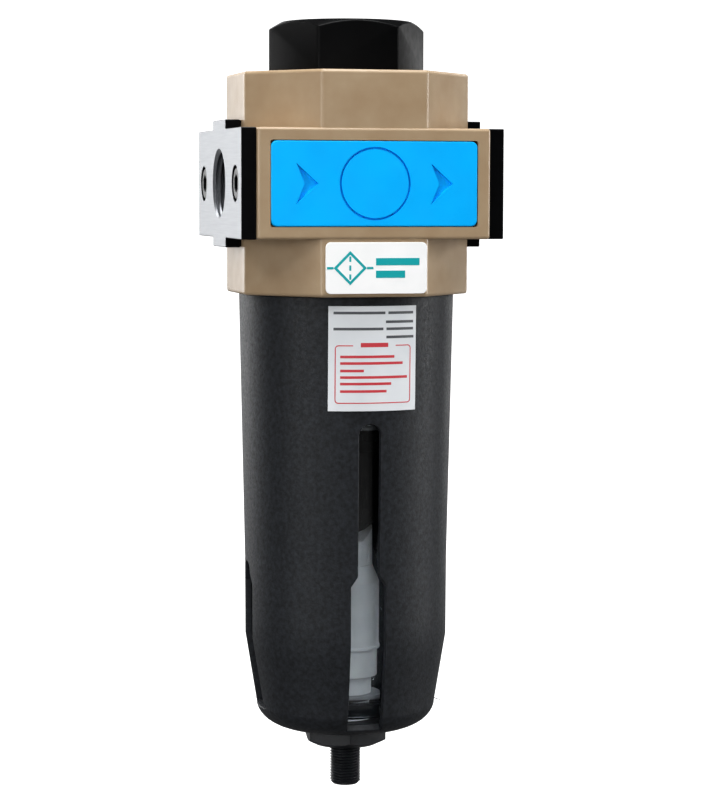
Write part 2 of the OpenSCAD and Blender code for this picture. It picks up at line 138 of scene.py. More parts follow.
PLATE_IN = BAND_X
PLATE_OUT = plate_high.x
PLATE_Y = plate_high.y
TAB_Y = 10.8
TAB_Z = plate_high.z
SPIGOT_R = 13.5
SPIGOT_END = plate_low.x
PORT_MINOR_R = 9.3
PORT_MAJOR_R = 10.45
PORT_PITCH = 1.814
PASSAGE_R = 9
SCREW_Y = 27
SCREW_POCKET_R = 5.55
SCREW_SEAT = PLATE_OUT - 3.7
TAB_GAP = 0.3
MOUTH_DEPTH = 1.2
SCREW_HEAD_R = 5
SCREW_HEAD_H = 3.4
SCREW_SHANK_R = 3
SCREW_LENGTH = 12.5
SCREW_KEY_R = 2.89
SCREW_KEY_DEPTH = 2.4

PANEL_T = 3
PANEL_GAP = 0.3
PANEL_DIAL_R = 10.7
CHEVRON_X = 20.9
MARK_DEPTH = 1.1
GROOVE_HALF = 0.2
CHEVRON = [(-3.2, 5.8), (3.1, 0), (-3.2, -5.8), (-0.8, 0)]

LABEL_T = 0.42
PRINT_T = 0.04
LABEL_FACE = -HEAD_Y - LABEL_T

PLUG_ACROSS = 43
PLUG_BORE_R = 9
PLUG_CROWN_T = 6
PLUG_THREAD_R = (16.4, 15.0)
PLUG_PITCH = 2.309

COLLAR_R = 31
GUARD_TOP = HEAD_FOOT - 0.05
GUARD_FOOT = guard_low.z
GUARD_TOP_R = guard_high.x
GUARD_WALL = 2.3
GUARD_TAPER_TOP = (32.2, -118)
GUARD_TAPER_END = (32.1, -143)
GUARD_CORNER = (28.6, -164.5)
GUARD_FOOT_R = 17
LONG_SLOT_TOP = -77
LONG_SLOT_SHOULDER = -120.6
LONG_SLOT_FOOT = -170.2
SHORT_SLOT_TOP = -122.6
SHORT_SLOT_SHOULDER = SHORT_SLOT_TOP - 0.1
SHORT_SLOT_FOOT = -165.8
SLOT_NARROW = 3.5
SLOT_WIDE = 5.65
SLOT_SHOULDER_H = 3.3
STEM_HOLE_R = 8.5

RATING_HALF = 14.2
RATING_TOP = rating_high.z
RATING_FOOT = rating_low.z
RATING_OFFSET = 1.0
RATING_LIFTS = (0.03, 0.36)
INK_LIFTS = (0.35, 0.39)
BAR_T = 0.8

NOSE_R = 12
NOSE_Z = -99.3
CAP_R = 8.5
CAP_HOLLOW_TOP = -113.5
BEAD_Z = GUARD_FOOT + 26.35
CAP_FOOT = BEAD_Z + 25.8
PARTITION_Z = BEAD_Z - 6
SEAT_Z = GUARD_FOOT - 0.75
FLOOR_TOP = GUARD_FOOT + 7.35
FLOOR_UNDER = GUARD_FOOT + 4.35
NUT_ACROSS = 24.4
NUT_BORE_R = 8.25
NUT_MOUTH_R = 5.36
TAIL_THREAD_R = (4.86, 4.3)
TAIL_PITCH = 0.907
TAIL_BORE_R = 2.6
VALVE_BORE_R = 1.2
SPRING_WIRE_R = 0.5
SPRING_R = 5.2
SPRING_TURNS = 6


# ---------------------------------------------------------------- mesh tools
def make(name, points, faces):
    """A mesh object from points in millimetres."""
    mesh = bpy.data.meshes.new(name)
    mesh.from_pydata([Vector(p) * MM for p in points], [], faces)
    return tidy(new_object(name, mesh))


def new_object(name, mesh):
    """An object in the scene, at the origin."""
    piece = bpy.data.objects.new(name, mesh)
    bpy.context.scene.collection.objects.link(piece)
    return piece


def tidy(piece):
    """Merges doubled points, drops empty faces and turns all faces outward."""
    bm = bmesh.new()
    bm.from_mesh(piece.data)
    bmesh.ops.remove_doubles(bm, verts=bm.verts, dist=1e-7)
    bmesh.ops.dissolve_degenerate(bm, edges=bm.edges, dist=1e-7)
    bmesh.ops.recalc_face_normals(bm, faces=bm.faces)
    bm.to_mesh(piece.data)
    bm.free()
    return piece


def settle(piece):
    """Applies a piece's modifiers."""
    bpy.context.view_layer.update()
    graph = bpy.context.evaluated_depsgraph_get()
    mesh = bpy.data.meshes.new_from_object(piece.evaluated_get(graph))
    piece.modifiers.clear()
    piece.data = mesh
    return piece


def combine(piece, tool, operation="DIFFERENCE"):
    """Cuts or joins a tool into a piece and throws the tool away."""
    modifier = piece.modifiers.new("combine", "BOOLEAN")
    modifier.operation = operation
    modifier.solver = "MANIFOLD"
    modifier.object = tool
    settle(piece)
    bpy.data.objects.remove(tool)
    return piece


def soften(piece, width, steps=3, angle=50):
    """Rounds every edge sharper than the angle."""
    modifier = piece.modifiers.new("edges", "BEVEL")
    modifier.width = width * MM
    modifier.segments = steps
    modifier.limit_method = "ANGLE"
    modifier.angle_limit = math.radians(angle)
    modifier.use_clamp_overlap = False
    modifier.miter_outer = "MITER_ARC"
    return settle(piece)


def smooth(piece):
    """Smooth shading, kept crisp across every edge that turns more than a curve's own steps do."""
    bm = bmesh.new()
    bm.from_mesh(piece.data)
    for face in bm.faces:
        face.smooth = True
    for edge in bm.edges:
        edge.smooth = edge.calc_face_angle(0) < CURVE_STEP
    bm.to_mesh(piece.data)
    bm.free()
    return piece


# A point of a section, a and b, and its distance t along an axis, as a point in space.
ALONG = {"Z": lambda a, b, t: (a, b, t), "X": lambda a, b, t: (t, a, b), "Y": lambda a, b, t: (a, t, b)}


def prism(name, outline, low, high, axis="Z", far=None):
    """An outline pushed from low to high along an axis, ending as far if given. X takes (y, z), Y (x, z)."""
    n = len(outline)
    points = [ALONG[axis](a, b, t) for t, ring in ((low, outline), (high, far or outline)) for a, b in ring]
    sides = [(i, (i + 1) % n, n + (i + 1) % n, n + i) for i in range(n)]
    return make(name, points, [tuple(range(n)), tuple(range(n, 2 * n)), *sides])


def lathe(name, profile, sides=96, axis="Z"):
    """A closed profile of (radius, height) turned about an axis."""
    n = len(profile)
    points = []
    for i in range(sides):
        a = 2 * math.pi * i / sides
        points += [ALONG[axis](r * math.cos(a), r * math.sin(a), z) for r, z in profile]
    faces = []
    for i in range(sides):
        j = (i + 1) % sides
        for k in range(n):
            m = (k + 1) % n
            if profile[k][0] > 0 or profile[m][0] > 0:
                faces.append((i * n + k, j * n + k, j * n + m, i * n + m))
    return make(name, points, faces)


def rod(r, low, high, axis="Z", bore=0, sides=96):
    """A round bar or tube along an axis."""
    return lathe("rod", [(bore, low), (r, low), (r, high), (bore, high)], sides, axis)


def circle(r, sides, turn=0):
    """A regular polygon's corners, the first turned by so many degrees from the first axis."""
    return [(r * math.cos(math.radians(turn) + 2 * math.pi * i / sides),
             r * math.sin(math.radians(turn) + 2 * math.pi * i / sides)) for i in range(sides)]


def round_rect(width, height, r, steps=6, centre=(0, 0)):
    """A rectangle's outline with round corners."""
    points = []
    for quarter, (sx, sy) in enumerate([(1, 1), (-1, 1), (-1, -1), (1, -1)]):
        for i in range(steps + 1):
            a = math.pi / 2 * (quarter + i / steps)
            points.append((centre[0] + sx * (width / 2 - r) + r * math.cos(a),
                           centre[1] + sy * (height / 2 - r) + r * math.sin(a)))
    return points


def arc(centre, radii, start, end, steps):
    """Points of an elliptical arc without its first point, angles in degrees from the first axis."""
    points = []
    for i in range(1, steps + 1):
        a = math.radians(start + (end - start) * i / steps)
        first, second = centre[0] + radii[0] * math.cos(a), centre[1] + radii[1] * math.sin(a)
        points.append((round(first, 6), round(second, 6)))
    return points


def threaded_rod(name, crest_r, root_r, pitch, low, high, end_taper=0, sides=48, axis="Z"):
    """A solid rod with a helical thread, with an optional taper over its lower end."""
    shape = [1, 1, 0.67, 0.33, 0, 0, 0.33, 0.67]
    rows = len(shape)
    count = (math.ceil((high - low) / pitch) + 4) * rows
    points, levels = [], []
    for i in range(sides + 1):
        a = 2 * math.pi * i / sides
        for j in range(count):
            z = low + pitch * (j / rows + i / sides - 2)
            z = min(max(z, low), high)
            r = root_r + (crest_r - root_r) * shape[j % rows]
            r = min(r, crest_r - end_taper + z - low) if end_taper else r
            points.append(ALONG[axis](r * math.cos(a), r * math.sin(a), z))
            levels.append(z)
    faces = []
    for i in range(sides):
        for j in range(count - 1):
            face = (i * count + j, (i + 1) * count + j, (i + 1) * count + j + 1, i * count + j + 1)
            if len({levels[v] for v in face}) > 1:
                faces.append(face)
    piece = make(name, points, faces)
    bm = bmesh.new()
    bm.from_mesh(piece.data)
    rims = [e for e in bm.edges if e.is_boundary]
    bmesh.ops.holes_fill(bm, edges=rims, sides=0)
    bmesh.ops.delete(bm, geom=[v for v in bm.verts if not v.link_faces], context="VERTS")
    bmesh.ops.recalc_face_normals(bm, faces=bm.faces)
    bm.to_mesh(piece.data)
    bm.free()
    return piece


def mirrored(piece, name):
    """The same piece turned half a turn about Z."""
    twin = new_object(name, piece.data.copy())
    twin.data.transform(Matrix.Rotation(math.pi, 4, "Z"))
    return twin


# ---------------------------------------------------------------- materials
def linear(hex_colour):
    """An sRGB hex colour as the linear colour that shaders take."""
    parts = [int(hex_colour[i:i + 2], 16) / 255 for i in (1, 3, 5)]
    return tuple(p / 12.92 if p <= 0.04045 else ((p + 0.055) / 1.055) ** 2.4 for p in parts) + (1,)


def add(tree, kind, inputs=None, **settings):
    """Adds a node. A value in inputs is a constant, or another node's output to link."""
    node = tree.nodes.new(kind)
    for key, value in settings.items():
        setattr(node, key, value)
    for key, value in (inputs or {}).items():
        if isinstance(value, bpy.types.NodeSocket):
            tree.links.new(value, node.inputs[key])
        else:
            node.inputs[key].default_value = value
    return node


def start(name, **sockets):
    """A material with one Principled shader, its plain sockets set by name."""
    material = bpy.data.materials.new(name)
    material.use_nodes = True
    tree = material.node_tree
    shader = tree.nodes["Principled BSDF"]
    for key, value in sockets.items():
        shader.inputs[key.replace("_", " ")].default_value = value
    return material, tree, shader


def grain(tree, size_mm, detail=2, stretch=(1, 1, 1)):
    """A noise whose features are about size_mm across, in the part's own space."""
    place = add(tree, "ShaderNodeTexCoord")
    scaled = add(tree, "ShaderNodeMapping", {"Vector": place.outputs["Object"], "Scale": stretch})
    noise = add(tree, "ShaderNodeTexNoise", {"Vector": scaled.outputs["Vector"], "Scale": 1 / (size_mm * MM),
                                             "Detail": detail})
    return noise.outputs["Fac"]


# A noise seldom leaves this range, so it is spread from here to the whole of what it drives.
NOISE_RANGE = {"From Min": 0.3, "From Max": 0.7}


def mottled(name, light, dark, size_mm, rough, depth_mm, bump_mm, **sockets):
    """A moulded or coated surface: faint colour and gloss changes and a fine surface texture."""
    material, tree, shader = start(name, **sockets)
    shade = add(tree, "ShaderNodeMapRange", {"Value": grain(tree, size_mm, detail=3), **NOISE_RANGE})
    blend = {"Factor": shade.outputs["Result"], 6: linear(dark), 7: linear(light)}
    colour = add(tree, "ShaderNodeMix", blend, data_type="RGBA")
    tree.links.new(colour.outputs[2], shader.inputs["Base Color"])
    gloss = add(tree, "ShaderNodeMapRange", {"Value": grain(tree, size_mm * 0.6, detail=4), **NOISE_RANGE,
                                             "To Min": rough[0], "To Max": rough[1]})
    tree.links.new(gloss.outputs["Result"], shader.inputs["Roughness"])
    bump = add(tree, "ShaderNodeBump", {"Height": grain(tree, bump_mm), "Distance": depth_mm * MM})
    tree.links.new(bump.outputs["Normal"], shader.inputs["Normal"])
    return material


def cast_enamel():
    """Stoved enamel on a die casting: even bronze-beige with a faint orange peel and a satin gloss."""
    return mottled("stoved_bronze_enamel", "#A69278", "#9D876C", 9, (0.32, 0.42), 0.012, 0.9,
                   Specular_IOR_Level=0.5)


def machined_zinc():
    """Zinc plate, coated black and then faced and tapped: bright on its outer face and in its port."""
    material, tree, shader = start("faced_zinc_black_edges", Specular_IOR_Level=0.2)
    place = add(tree, "ShaderNodeTexCoord")
    parts = add(tree, "ShaderNodeSeparateXYZ", {"Vector": place.outputs["Object"]})
    out = add(tree, "ShaderNodeMath", {0: parts.outputs["X"]}, operation="ABSOLUTE")
    faced = add(tree, "ShaderNodeMath", {0: out.outputs[0], 1: (PLATE_OUT - 0.12) * MM},
                operation="GREATER_THAN")
    across = add(tree, "ShaderNodeCombineXYZ", {"X": parts.outputs["Y"], "Y": parts.outputs["Z"]})
    radius = add(tree, "ShaderNodeVectorMath", {0: across.outputs[0]}, operation="LENGTH")
    tapped = add(tree, "ShaderNodeMath", {0: radius.outputs["Value"], 1: (PORT_MAJOR_R + 0.9) * MM},
                 operation="LESS_THAN")
    either = add(tree, "ShaderNodeMath", {0: faced.outputs[0], 1: tapped.outputs[0]}, operation="MAXIMUM")
    bare = either.outputs[0]
    streaks = grain(tree, 0.5, detail=3, stretch=(1, 0.03, 1))
    sides = []
    for pattern, dark, light in ((grain(tree, 2), "#060607", "#0A0A0C"), (streaks, "#7B7E82", "#87898D")):
        shade = add(tree, "ShaderNodeMapRange", {"Value": pattern, **NOISE_RANGE})
        blend = {"Factor": shade.outputs["Result"], 6: linear(dark), 7: linear(light)}
        sides.append(add(tree, "ShaderNodeMix", blend, data_type="RGBA").outputs[2])
    coat, metal = sides
    colour = add(tree, "ShaderNodeMix", {"Factor": bare, 6: coat, 7: metal}, data_type="RGBA")
    tree.links.new(colour.outputs[2], shader.inputs["Base Color"])
    gloss = add(tree, "ShaderNodeMapRange", {"Value": bare, "To Min": 0.28, "To Max": 0.36})
    tree.links.new(gloss.outputs["Result"], shader.inputs["Roughness"])
    metallic = add(tree, "ShaderNodeMath", {0: bare, 1: 0.75}, operation="MULTIPLY")
    tree.links.new(metallic.outputs[0], shader.inputs["Metallic"])
    bump = add(tree, "ShaderNodeBump", {"Height": streaks, "Distance": 0.004 * MM})
    tree.links.new(bump.outputs["Normal"], shader.inputs["Normal"])
    return material


def blue_moulding():
    """Injection-moulded ABS: strong light blue, semi-gloss with a hardly visible grain."""
    return mottled("blue_abs", "#00B5FC", "#00AEF6", 12, (0.34, 0.42), 0.003, 0.5, Specular_IOR_Level=0.25)


def black_moulding():
    """Glass-filled nylon of the plug: near black, satin."""
    return mottled("black_glass_nylon", "#040506", "#030304", 4, (0.38, 0.46), 0.002, 0.5,
                   Specular_IOR_Level=0.1)


def nut_moulding():
    """Unfilled black nylon of the drain nut and tail: dark grey, satin."""
    return mottled("black_nylon", "#212429", "#191B1F", 3, (0.36, 0.46), 0.006, 0.5)


def guard_moulding():
    """Nylon moulded in a spark-eroded tool: matt charcoal with a fine stipple, drawn coarser than it is."""
    return mottled("spark_textured_nylon", "#282B30", "#16181B", 1.4, (0.46, 0.64), 0.05, 0.55,
                   Specular_IOR_Level=0.35)


def rubber():
    """Nitrile rubber: matt black with a dusty bloom."""
    return mottled("nitrile_rubber", "#19191B", "#121214", 1.5, (0.6, 0.75), 0.004, 0.4)


def blackened_steel():
    """Black-oxide screw steel: dark, oily and half glossy."""
    return mottled("black_oxide_steel", "#1A1B1E", "#121316", 1.2, (0.32, 0.45), 0.003, 0.3, Metallic=0.8)


def bright_steel():
    """Bright drawn steel of the tie rod, the support tube and the spring."""
    return mottled("bright_drawn_steel", "#B9BBBE", "#A9ABAF", 1.0, (0.25, 0.38), 0.002, 0.4, Metallic=1.0)


def pressed_aluminium():
    """Pressed aluminium end caps: pale, with a soft sheen."""
    return mottled("pressed_aluminium", "#D8DADC", "#CCCED1", 1.5, (0.45, 0.6), 0.003, 0.6, Metallic=0.3)


def pale_moulding():
    """Acetal of the float drain and its strainer cap: light grey, slightly waxy."""
    return mottled("grey_acetal", "#F0F1F3", "#E4E6E9", 6, (0.42, 0.52), 0.004, 0.8, Subsurface_Weight=0.05)


def shade_grey_moulding():
    """Mid-grey acetal for the drain's clamping foot, darker than the pale drain moulding: the darker grey is
    painted shade where shade falls at the bowl's floor.
    """
    return mottled("painted_shade_grey_acetal", "#8A8D92", "#7E8186", 4, (0.45, 0.55), 0.004, 0.6)


def float_foam():
    """Foamed polypropylene float: off-white, with closed pores."""
    return mottled("foamed_polypropylene", "#E2E4E2", "#D2D5D3", 1.0, (0.6, 0.75), 0.03, 0.6)


def dark_moulding():
    """Black acetal of the bell and the swirl vanes."""
    return mottled("black_acetal", "#040405", "#020203", 5, (0.68, 0.8), 0.006, 0.6,
                   Specular_IOR_Level=0.08)


def filter_paper():
    """Resin-bonded glass fibre paper: cream, fibrous."""
    return mottled("glass_fibre_paper", "#E6E1D0", "#D3CDB9", 0.8, (0.85, 0.95), 0.06, 0.35)


def filter_foam():
    """Open-cell polyester foam sleeve: off-white, porous."""
    return mottled("open_cell_foam", "#E4E4DC", "#B9B9B0", 0.5, (0.9, 0.98), 0.25, 0.6)


def clear_polycarbonate():
    """Clear polycarbonate of the bowl: glossy, lets the lamps through, with a faint cool tint."""
    material, tree, shader = start("clear_polycarbonate", IOR=1.585, Transmission_Weight=1.0,
                                   Base_Color=linear("#F2F6F8"), Roughness=0.03, Specular_IOR_Level=0.25)
    bump = add(tree, "ShaderNodeBump", {"Height": grain(tree, 6, detail=1), "Distance": 0.01 * MM})
    tree.links.new(bump.outputs["Normal"], shader.inputs["Normal"])
    rays = add(tree, "ShaderNodeLightPath")
    open_way = add(tree, "ShaderNodeBsdfTransparent", {"Color": linear("#FDFEFF")})
    both = add(tree, "ShaderNodeMixShader", {0: rays.outputs["Is Shadow Ray"], 1: shader.outputs[0],
                                             2: open_way.outputs[0]})
    tree.links.new(both.outputs[0], tree.nodes["Material Output"].inputs["Surface"])
    return material


def label_film(name, light, dark):
    """Polyester label film: satin, very even."""
    return mottled(name, light, dark, 8, (0.3, 0.4), 0.003, 0.7)


def ink(name, colour):
    """Screen-print ink: flat colour with a soft gloss."""
    return mottled(name, colour, colour, 3, (0.35, 0.5), 0.002, 0.4)


MATERIALS = {
    "cast_paint": cast_enamel(), "plate_metal": machined_zinc(), "black_steel": blackened_steel(),
    "seal_rubber": rubber(), "blue_plastic": blue_moulding(),
    "label_film": label_film("pale_label_film", "#E2E5E8", "#DBDFE3"),
    "plug_plastic": black_moulding(), "inner_plastic": dark_moulding(), "cap_metal": pressed_aluminium(),
    "bright_steel": bright_steel(), "filter_paper": filter_paper(), "filter_foam": filter_foam(),
    "dark_plastic": dark_moulding(), "clear_bowl": clear_polycarbonate(), "guard_plastic": guard_moulding(),
    "pale_plastic": pale_moulding(), "float_plastic": float_foam(), "nut_plastic": nut_moulding(),
}
TEAL_INK = ink("teal_print_ink", "#0FA3A8")
RED_INK = ink("red_print_ink", "#C8464E")
DARK_INK = ink("dark_print_ink", "#5A5C60")


def fit(piece, node, material=None, replace=True):
    """Gives a piece its material and body, and stands it for its CAD node."""
    piece.data.materials.clear()
    piece.data.materials.append(material or MATERIALS[SLOT_OF[node]])
    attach(piece, frame["nodes"][node]["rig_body"])
    if replace:
        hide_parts(node)
    return piece


# ---------------------------------------------------------------- head
def head_cavity():
    """Everything bored out of the head about Z, from the bowl socket up to the plug hole's recess."""
    foot, top = HEAD_FOOT - 1, HEAD_TOP + 1
    socket = [(0, foot), (SOCKET_R, foot), (SOCKET_R, SOCKET_TOP), (SEAL_BORE_R, SOCKET_TOP),
              (SEAL_BORE_R, SEAL_BORE_TOP)]
    chamber = [(CHAMBER_R, SEAL_BORE_TOP), (CHAMBER_R, CHAMBER_TOP), (BOSS_R, CHAMBER_TOP),
               (BOSS_R, BOSS_FOOT), (OUTLET_R, BOSS_FOOT), (OUTLET_R, PLUG_HOLE_FOOT)]
    plug_hole = [(PLUG_HOLE_R, PLUG_HOLE_FOOT), (PLUG_HOLE_R, PLUG_RECESS_FOOT),
                 (PLUG_RECESS_R, PLUG_RECESS_FOOT), (PLUG_RECESS_R, top), (0, top)]
    return lathe("cavity", socket + chamber + plug_hole, 96)


def port_tool(start, side):
    """Spigot bore and air passage of one port."""
    end = BAND_X + 1
    bore_r = SPIGOT_R + 0.1
    tool = lathe("port", [(0, start), (PASSAGE_R, start), (PASSAGE_R, SPIGOT_END), (bore_r, SPIGOT_END),
                          (bore_r, end), (0, end)], 72, "X")
    if side < 0:
        tool.data.transform(Matrix.Rotation(math.pi, 4, "Z"))
    return tool


def build_head():
    """Casting: eight-sided column and band, softened, then bored and recessed."""
    a, b, c, d = FRONT_FACE_HALF, HEAD_Y, HEAD_X, SIDE_FACE_HALF
    column = [(a, -b), (c, -d), (c, d), (a, b), (-a, b), (-c, d), (-c, -d), (-a, -b)]
    head = soften(prism("head_casting", column, HEAD_FOOT, HEAD_TOP), HEAD_EDGE_R, 4, 25)
    band = [(BAND_X, -BAND_Y), (BAND_X, BAND_Y), (-BAND_X, BAND_Y), (-BAND_X, -BAND_Y)]
    combine(head, soften(prism("band", band, -BAND_Z, BAND_Z), BAND_EDGE_R, 4, 25), "UNION")
    width, height = panel_high.x - panel_low.x + PANEL_GAP, panel_high.z - panel_low.z + PANEL_GAP
    for low, high in ((-BAND_Y - 1, -BAND_Y + PANEL_T + 0.05), (BAND_Y - PANEL_T - 0.05, BAND_Y + 1)):
        combine(head, prism("recess", round_rect(width, height, 0.7, 3), low, high, "Y"))
    combine(head, head_cavity())
    combine(head, rod(INLET_TUBE_R, BOSS_R - 2, CHAMBER_R + 2, "X", sides=72), "UNION")
    reach, half = OUTLET_R + 1, SPIDER_HALF_Y
    spider = [(-reach, -half), (reach, -half), (reach, half), (-reach, half)]
    combine(head, prism("spider", spider, *SPIDER_Z), "UNION")
    combine(head, port_tool(0, 1))
    combine(head, port_tool(BOSS_R + 2, -1))
    for x in (-1, 1):
        for y in (-1, 1):
            hole = rod(SCREW_HOLE_R, BAND_X - SCREW_HOLE_DEPTH, BAND_X + 1, "X", sides=32)
            hole.data.transform(Matrix.Translation((0, y * SCREW_Y * MM, 0)))
            hole.data.transform(Matrix.Rotation(0 if x > 0 else math.pi, 4, "Z"))
            combine(head, hole)
    return smooth(head)


def build_plate():
    """Outlet end plate: slab with tabs, threaded port, spigot and screw pockets."""
    y, z = PLATE_Y, BAND_Z
    outline = [(-y, -z), (-TAB_Y, -z), (-TAB_Y, -TAB_Z), (TAB_Y, -TAB_Z), (TAB_Y, -z), (y, -z),
               (y, z), (TAB_Y, z), (TAB_Y, TAB_Z), (-TAB_Y, TAB_Z), (-TAB_Y, z), (-y, z)]
    plate = prism("end_plate", outline, PLATE_IN, PLATE_OUT, "X")
    soften(plate, 0.35, 3, 50)
    for side in (-1, 1):
        half, root, tip = TAB_Y - TAB_GAP, side * (BAND_Z + 0.05), side * (TAB_Z - TAB_GAP)
        tab = [(-half, root), (half, root), (half, tip), (-half, tip)]
        combine(plate, prism("tab", tab, HEAD_X, PLATE_IN + 1, "X"), "UNION")
        for_screw = rod(SCREW_POCKET_R, SCREW_SEAT, PLATE_OUT + 1, "X", sides=64)
        for_screw.data.transform(Matrix.Translation((0, side * SCREW_Y * MM, 0)))
        combine(plate, for_screw)
    combine(plate, rod(SPIGOT_R, SPIGOT_END, PLATE_IN + 1, "X"), "UNION")
    tap = threaded_rod("tap", PORT_MAJOR_R, PORT_MINOR_R, PORT_PITCH, SPIGOT_END - 1, PLATE_OUT + 1,
                       sides=64, axis="X")
    combine(plate, tap)
    mouth = lathe("mouth", [(0, PLATE_OUT - MOUTH_DEPTH), (PORT_MINOR_R, PLATE_OUT - MOUTH_DEPTH),
                            (PORT_MAJOR_R + 0.7, PLATE_OUT + 0.2), (0, PLATE_OUT + 0.2)], 96, "X")
    combine(plate, mouth)
    return smooth(soften(plate, 0.12, 2, 70))


def build_plate_screws():
    """Two low-head screws with a hexagon socket."""
    top, end = SCREW_SEAT + SCREW_HEAD_H, PLATE_IN - SCREW_LENGTH
    shank, head = SCREW_SHANK_R, SCREW_HEAD_R
    profile = [(0, end), (shank - 0.4, end), (shank, end + 0.5), (shank, SCREW_SEAT), (head, SCREW_SEAT),
               (head, top - 0.5), (head - 0.4, top), (0, top)]
    screws = []
    for side in (-1, 1):
        screw = lathe("screw", profile, 64, "X")
        combine(screw, prism("key", circle(SCREW_KEY_R, 6, 30), top - SCREW_KEY_DEPTH, top + 1, "X"))
        soften(screw, 0.15, 2, 50)
        screw.data.transform(Matrix.Translation((0, side * SCREW_Y * MM, 0)))
        screws.append(screw)
    return smooth(join(screws, "plate_screws"))


def join(pieces, name):
    """Several meshes as one piece."""
    bm = bmesh.new()
    for piece in pieces:
        bm.from_mesh(piece.data)
        bpy.data.objects.remove(piece)
    mesh = bpy.data.meshes.new(name)
    bm.to_mesh(mesh)
    bm.free()
    return new_object(name, mesh)


def build_panel():
    """Snap-in front panel: soft edges, a thin round groove and two recessed chevrons with flared mouths."""
    width, height = panel_high.x - panel_low.x, panel_high.z - panel_low.z
    face, bottom, above = -BAND_Y, -BAND_Y + MARK_DEPTH, -BAND_Y - 0.1
    panel = prism("front_panel_blue", round_rect(width, height, 2), face, face + PANEL_T, "Y")
    soften(panel, 0.45, 4, 50)
    foot_half, mouth_half = GROOVE_HALF, GROOVE_HALF + 0.15
    ring = [(PANEL_DIAL_R - foot_half, bottom), (PANEL_DIAL_R + foot_half, bottom),
            (PANEL_DIAL_R + mouth_half, above), (PANEL_DIAL_R - mouth_half, above)]
    combine(panel, lathe("ring", ring, 96, "Y"))
    for x in (-CHEVRON_X, CHEVRON_X):
        mark = [(x + px, pz) for px, pz in CHEVRON]
        flared = [(x + 1.09 * px, 1.07 * pz) for px, pz in CHEVRON]
        combine(panel, prism("chevron", flared, above, bottom, "Y", far=mark))
    return smooth(panel)


def build_name_label():
    """Small label on the head's front face."""
    width, height = label_high.x - label_low.x, label_high.z - label_low.z
    centre = ((label_high.x + label_low.x) / 2, (label_high.z + label_low.z) / 2)
    label = prism("head_label", round_rect(width, height, 1.6, 6, centre), LABEL_FACE, -HEAD_Y, "Y")
    return smooth(soften(label, 0.12, 2, 50))


def flat_prints(name, outlines):
    """Thin printed shapes on the head label; each is a closed outline in X and Z."""
    low, high = LABEL_FACE - PRINT_T, LABEL_FACE + PRINT_T / 2
    return join([prism("mark", outline, low, high, "Y") for outline in outlines], name)


def bar(x0, x1, z, height):
    """A bar's outline between two ends, centred on a height."""
    return [(x0, z - height / 2), (x1, z - height / 2), (x1, z + height / 2), (x0, z + height / 2)]


def diamond(cx, cz, half):
    """A square's outline stood on its corner."""
    return [(cx - half, cz), (cx, cz + half), (cx + half, cz), (cx, cz - half)]


def build_name_print():
    """A plain drawing symbol for a filter, a diamond with a broken line, beside two bars."""
    cx, cz = label_low.x + 7.6, (label_low.z + label_high.z) / 2
    half, line = 4.6, 0.55
    marks = [bar(cx - 0.3, cx + 0.3, cz + z, 1.6) for z in (-2.7, 0, 2.7)]
    marks += [bar(cx - half - 2.6, cx - half - 0.6, cz, 0.7), bar(cx + half + 0.6, cx + half + 2.6, cz, 0.7)]
    left, right = cx + half + 3.4, label_high.x - 2.4
    marks += [bar(left, right, cz + 1.9, 2.2), bar(left, right - 4.5, cz - 1.9, 2.2)]
    bars = flat_prints("bars", marks)
    frame_line = flat_prints("frame_line", [diamond(cx, cz, half + line)])
    combine(frame_line, prism("inside", diamond(cx, cz, half - line), -HEAD_Y - 1, -HEAD_Y, "Y"))
    return join([bars, frame_line], "head_label_print")


# ---------------------------------------------------------------- plug
def build_plug():
    """Hexagon plug: thirty-degree chamfer on top, threaded stem below."""
    foot, top = HEAD_TOP + 0.05, plug_high.z
    hexagon = prism("hexagon_plug", circle(PLUG_ACROSS / math.sqrt(3), 6, -3.4), foot, top)
    flat_r = PLUG_ACROSS / 2 - 1
    spread = (top - foot + 1) / math.tan(math.radians(30))
    cone = lathe("cone", [(0, foot - 1), (flat_r + spread, foot - 1), (flat_r, top), (0, top)], 128)
    soften(hexagon, 0.5, 3, 50)
    combine(hexagon, cone, "INTERSECT")
    soften(hexagon, 0.3, 2, 24)
    stem = threaded_rod("stem", *PLUG_THREAD_R, PLUG_PITCH, plug_low.z, foot + 1, end_taper=1.5, sides=96)
    combine(hexagon, stem, "UNION")
    combine(hexagon, rod(PLUG_BORE_R, plug_low.z - 1, top - PLUG_CROWN_T))
    return smooth(hexagon)


# ---------------------------------------------------------------- guard
def guard_outer(z):
    """Outside radius of the guard at a height."""
    knots = [(GUARD_TOP_R, GUARD_TOP), GUARD_TAPER_TOP, GUARD_TAPER_END, GUARD_CORNER]
    if z >= GUARD_TOP:
        return GUARD_TOP_R
    for (r0, z0), (r1, z1) in zip(knots, knots[1:]):
        if z >= z1:
            return r0 + (r1 - r0) * (z0 - z) / (z0 - z1)
    r, top = GUARD_CORNER
    fall = min(1, (top - z) / (top - GUARD_FOOT))
    return GUARD_FOOT_R + (r - GUARD_FOOT_R) * math.sqrt(1 - fall * fall)


def slot_half_width(z, dome_z, shoulder_z, foot_z):
    """Half width of a sight slot: round top, narrow part, shoulder and wide part."""
    if z > dome_z + SLOT_NARROW or z < foot_z:
        return 0
    if z > dome_z:
        return math.sqrt(max(0, SLOT_NARROW ** 2 - (z - dome_z) ** 2))
    share = min(max((shoulder_z - z) / SLOT_SHOULDER_H, 0), 1)
    return SLOT_NARROW + (SLOT_WIDE - SLOT_NARROW) * share


SLOTS = {"long": (LONG_SLOT_TOP, LONG_SLOT_SHOULDER, LONG_SLOT_FOOT),
         "short": (SHORT_SLOT_TOP, SHORT_SLOT_SHOULDER, SHORT_SLOT_FOOT)}


